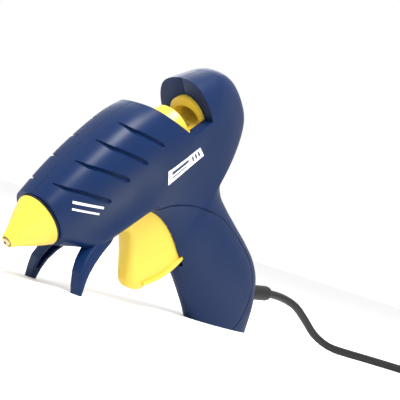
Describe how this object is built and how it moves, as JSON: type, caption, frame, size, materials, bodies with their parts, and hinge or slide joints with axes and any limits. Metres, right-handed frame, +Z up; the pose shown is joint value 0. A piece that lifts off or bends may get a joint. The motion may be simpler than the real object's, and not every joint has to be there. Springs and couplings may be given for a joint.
{
  "type": "glue gun",
  "caption": "Corded hot-melt glue gun on two front legs, with a sprung trigger whose lever and jaw push a sliding stick feeder into a heated chamber behind a rubber-covered nozzle.",
  "frame": {"origin": "centre of the gun's bounding box, without its free cord, coil and plug, on the table it stands on", "axes": "+Z up; +X from the nozzle towards the handle and the cord; +Y to the gun's right side; the shells part on the plane Y = 0"},
  "size_m": [0.4472, 0.0989, 0.1426],
  "materials": {
    "shell": "satin",
    "nose": "satin",
    "gasket": "matte",
    "tip": "satin",
    "chamber": "satin",
    "heater": "matte",
    "steel": "satin",
    "silicone": "satin",
    "feed": "gloss",
    "lever": "matte",
    "black_rubber": "matte",
    "cord": "satin",
    "pin": "gloss",
    "wire": "matte"
  },
  "bodies": {
    "housing": {"left_shell": "shell", "right_shell": "shell", "nose_cone": "nose", "seal_ring": "gasket", "nozzle_tip": "tip", "melt_chamber": "chamber", "heater_ptc": "heater", "heater_clip": "steel", "inlet_sleeve": "silicone", "sleeve_clamp": "steel", "lever_pin": "steel", "trigger_pin": "steel", "return_spring": "steel", "screw_1": "steel", "screw_2": "steel", "screw_3": "steel", "screw_4": "steel", "screw_5": "steel", "strain_relief": "black_rubber", "cord_clamp": "steel", "wire_left": "wire", "wire_right": "wire", "cord_tube": "cord", "cord_coil": "cord", "plug_body": "black_rubber", "plug_pin_a": "pin", "plug_pin_b": "pin"},
    "trigger": {"trigger": "feed"},
    "lever": {"feed_lever": "lever"},
    "feeder": {"feeder": "feed", "jaw_pin": "steel"},
    "jaw": {"grip_jaw": "steel"}
  },
  "joints": [
    {"name": "trigger_hinge", "type": "hinge", "parent": "housing", "child": "trigger", "pos_m": [-0.03068, 0, 0.06333], "axis": [0, -1, 0], "range_deg": [0, 14.2], "stiffness_Nm_per_rad": 0.6, "springref_deg": -6.88},
    {"name": "lever_hinge", "type": "hinge", "parent": "housing", "child": "lever", "pos_m": [-0.00086, 0, 0.06663], "axis": [0, -1, 0], "range_deg": [0, 30.2]},
    {"name": "feed_slide", "type": "slide", "parent": "housing", "child": "feeder", "axis": [-0.729, 0, -0.6845], "range_m": [0, 0.012], "deforming": ["return_spring"]},
    {"name": "jaw_hinge", "type": "hinge", "parent": "feeder", "child": "jaw", "pos_m": [-0.02043, 0, 0.08776], "axis": [0, -1, 0], "range_deg": [0, 6]}
  ],
  "couplings": [
    {"joint": "lever_hinge", "follows": "trigger_hinge", "ratio": 2.1268},
    {"joint": "feed_slide", "follows": "trigger_hinge", "m_per_rad": 0.048419},
    {"joint": "jaw_hinge", "follows": "trigger_hinge", "ratio": 0.42254}
  ]
}
